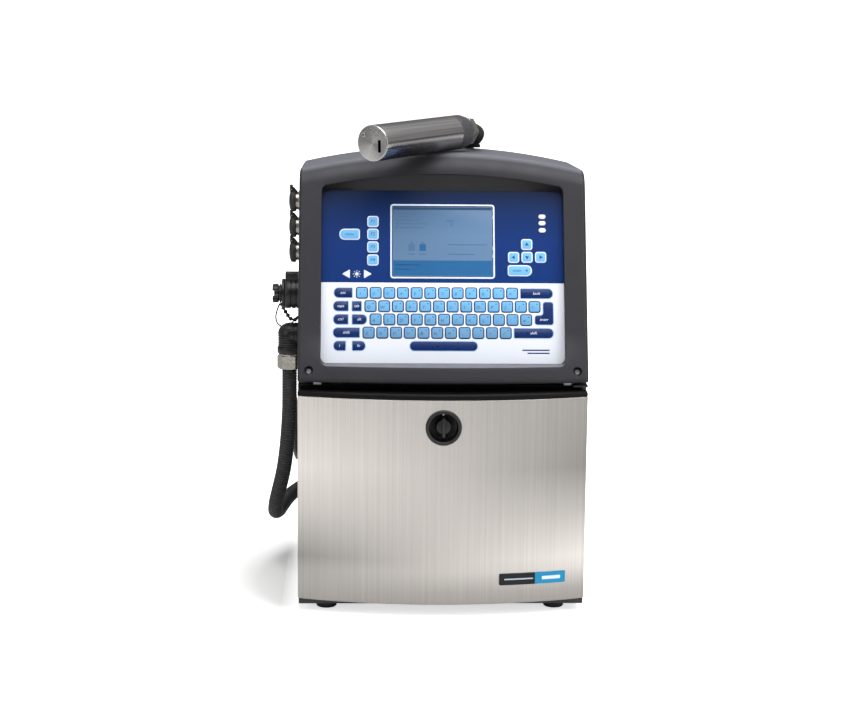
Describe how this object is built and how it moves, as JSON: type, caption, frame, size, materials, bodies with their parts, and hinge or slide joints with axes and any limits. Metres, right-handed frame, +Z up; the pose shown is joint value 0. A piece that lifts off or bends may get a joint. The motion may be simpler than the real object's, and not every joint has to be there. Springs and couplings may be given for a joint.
{
  "type": "date code inkjet printer",
  "caption": "Continuous inkjet date coder: steel ink cabinet with a bowed door, tilted console hood, parked tubular printhead and side umbilical.",
  "frame": {"origin": "on the floor, below the middle of the cabinet, at the centre of the four feet's bolt holes", "axes": "+X to the right as the operator sees it, +Y from the door to the rear wall, +Z up"},
  "size_m": [0.3803, 0.324, 0.574],
  "materials": {
    "brushed_steel": "vertical brushed stainless steel",
    "black_steel": "black powder coat",
    "rubber": "matte black rubber",
    "zinc_steel": "zinc-plated steel",
    "grey_plastic": "moulded dark grey plastic",
    "black_plastic": "moulded black plastic",
    "white_plastic": "moulded white plastic",
    "motor_paint": "grey enamel",
    "aluminium": "machined aluminium",
    "clear_tube": "translucent tube",
    "circuit_board": "solder mask",
    "cable_jacket": "black jacket",
    "nickel": "nickel-plated brass",
    "badge_print": "printed label, black and blue",
    "hood_plastic": "charcoal moulded plastic",
    "panel_print": "printed overlay, blue over silver",
    "lcd": "display glass",
    "key_light": "light blue keys",
    "key_navy": "dark blue keys",
    "polished_steel": "turned and polished stainless steel",
    "collar_plastic": "dark grey plastic"
  },
  "bodies": {
    "cabinet": {"cabinet_shell": "brushed_steel", "base_pan": "black_steel", "feet": "rubber", "divider_shelf": "zinc_steel", "rear_cover": "brushed_steel", "cabinet_screws": "zinc_steel", "hood_hinge_pins": "zinc_steel", "door_hinge_brackets": "black_steel", "ink_module": "grey_plastic", "pump_motor": "motor_paint", "ink_filter": "white_plastic", "valve_manifold": "aluminium", "ink_tubes": "clear_tube", "power_supply": "zinc_steel", "main_board": "circuit_board", "fan_frame": "black_plastic", "power_gland": "black_plastic", "power_cable": "cable_jacket", "side_sockets": "nickel", "network_socket": "black_plastic", "cap_tether": "black_plastic", "umbilical_elbow": "black_plastic", "gland_nut": "nickel", "umbilical_hose": "cable_jacket"},
    "door": {"door_panel": "brushed_steel", "door_trim": "black_plastic", "door_seal": "rubber", "badge": "badge_print", "latch_cup": "black_plastic"},
    "latch": {"latch_knob": "black_plastic", "latch_cam": "zinc_steel"},
    "hood": {"hood": "hood_plastic", "keypad_panel": "panel_print", "keypad_backplate": "zinc_steel", "lcd_module": "lcd", "status_lamps": "white_plastic", "hose_clip": "black_plastic", "umbilical_lead": "cable_jacket"},
    "hood_screw_left": {"hood_screw_left": "zinc_steel"},
    "hood_screw_right": {"hood_screw_right": "zinc_steel"},
    "ink_cartridge": {"ink_cartridge": "black_plastic"},
    "makeup_cartridge": {"makeup_cartridge": "white_plastic"},
    "fan_rotor": {"fan_rotor": "black_plastic"},
    "socket_cap_top": {"socket_cap_top": "black_plastic"},
    "socket_cap_middle": {"socket_cap_middle": "black_plastic"},
    "socket_cap_bottom": {"socket_cap_bottom": "black_plastic"},
    "network_cap": {"network_cap": "black_plastic"},
    "printhead": {"printhead_deck": "aluminium", "printhead_collar": "collar_plastic", "printhead_nut": "nickel"},
    "printhead_cover": {"printhead_cover": "polished_steel"},
    "cover_screw": {"cover_screw": "polished_steel"},
    "number_keys": {"number_keys": "key_light"},
    "top_letter_keys": {"top_letter_keys": "key_light"},
    "home_letter_keys": {"home_letter_keys": "key_light"},
    "bottom_letter_keys": {"bottom_letter_keys": "key_light"},
    "space_bar": {"space_bar": "key_navy"},
    "control_keys": {"control_keys": "key_navy"},
    "function_keys": {"function_keys": "key_light"},
    "cursor_keys": {"cursor_keys": "key_light"}
  },
  "joints": [
    {"name": "door_hinge", "type": "hinge", "parent": "cabinet", "child": "door", "pos_m": [0.163, -0.127, 0.1365], "axis": [0, 0, 1], "range_deg": [0, 110]},
    {"name": "latch_turn", "type": "hinge", "parent": "door", "child": "latch", "pos_m": [0, -0.1611, 0.2258], "axis": [0, 1, 0], "range_deg": [0, 90]},
    {"name": "hood_hinge", "type": "hinge", "parent": "cabinet", "child": "hood", "pos_m": [0, 0.12, 0.493], "axis": [-1, 0, 0], "range_deg": [0, 45], "deforming": ["umbilical_hose"]},
    {"name": "hood_screw_left_turn", "type": "hinge", "parent": "hood", "child": "hood_screw_left", "pos_m": [-0.155, -0.13556, 0.28722], "axis": [0, -0.937, 0.3494], "range_deg": [0, 90]},
    {"name": "hood_screw_right_turn", "type": "hinge", "parent": "hood", "child": "hood_screw_right", "pos_m": [0.155, -0.13556, 0.28722], "axis": [0, -0.937, 0.3494], "range_deg": [0, 90]},
    {"name": "ink_cartridge_slide", "type": "slide", "parent": "cabinet", "child": "ink_cartridge", "axis": [0, -1, 0], "range_m": [0, 0.035]},
    {"name": "makeup_cartridge_slide", "type": "slide", "parent": "cabinet", "child": "makeup_cartridge", "axis": [0, -1, 0], "range_m": [0, 0.035]},
    {"name": "fan_spin", "type": "hinge", "parent": "cabinet", "child": "fan_rotor", "pos_m": [0.09, 0.108, 0.42], "axis": [0, 1, 0], "continuous": true},
    {"name": "socket_cap_top_hinge", "type": "hinge", "parent": "cabinet", "child": "socket_cap_top", "pos_m": [-0.18, 0.015, 0.4833], "axis": [0, 1, 0], "range_deg": [0, 90]},
    {"name": "socket_cap_middle_hinge", "type": "hinge", "parent": "cabinet", "child": "socket_cap_middle", "pos_m": [-0.18, 0.015, 0.4523], "axis": [0, 1, 0], "range_deg": [0, 90]},
    {"name": "socket_cap_bottom_hinge", "type": "hinge", "parent": "cabinet", "child": "socket_cap_bottom", "pos_m": [-0.18, 0.015, 0.4218], "axis": [0, 1, 0], "range_deg": [0, 90]},
    {"name": "network_cap_turn", "type": "hinge", "parent": "cabinet", "child": "network_cap", "pos_m": [-0.19, 0.015, 0.356], "axis": [-1, 0, 0], "continuous": true},
    {"name": "printhead_lift", "type": "slide", "parent": "hood", "child": "printhead", "axis": [0, 0, 1], "range_m": [0, 0.04], "deforming": ["umbilical_lead"]},
    {"name": "printhead_cover_slide", "type": "slide", "parent": "printhead", "child": "printhead_cover", "axis": [-0.569, -0.8218, -0.0297], "range_m": [0, 0.15]},
    {"name": "cover_screw_turn", "type": "hinge", "parent": "printhead_cover", "child": "cover_screw", "pos_m": [-0.09294, -0.13045, 0.557], "axis": [-0.569, -0.8218, -0.0297], "range_deg": [0, 360]},
    {"name": "number_keys_press", "type": "slide", "parent": "hood", "child": "number_keys", "axis": [0, 0.937, -0.3494], "range_m": [0, 0.0005]},
    {"name": "top_letter_keys_press", "type": "slide", "parent": "hood", "child": "top_letter_keys", "axis": [0, 0.937, -0.3494], "range_m": [0, 0.0005]},
    {"name": "home_letter_keys_press", "type": "slide", "parent": "hood", "child": "home_letter_keys", "axis": [0, 0.937, -0.3494], "range_m": [0, 0.0005]},
    {"name": "bottom_letter_keys_press", "type": "slide", "parent": "hood", "child": "bottom_letter_keys", "axis": [0, 0.937, -0.3494], "range_m": [0, 0.0005]},
    {"name": "space_bar_press", "type": "slide", "parent": "hood", "child": "space_bar", "axis": [0, 0.937, -0.3494], "range_m": [0, 0.0005]},
    {"name": "control_keys_press", "type": "slide", "parent": "hood", "child": "control_keys", "axis": [0, 0.937, -0.3494], "range_m": [0, 0.0005]},
    {"name": "function_keys_press", "type": "slide", "parent": "hood", "child": "function_keys", "axis": [0, 0.937, -0.3494], "range_m": [0, 0.0005]},
    {"name": "cursor_keys_press", "type": "slide", "parent": "hood", "child": "cursor_keys", "axis": [0, 0.937, -0.3494], "range_m": [0, 0.0005]}
  ]
}
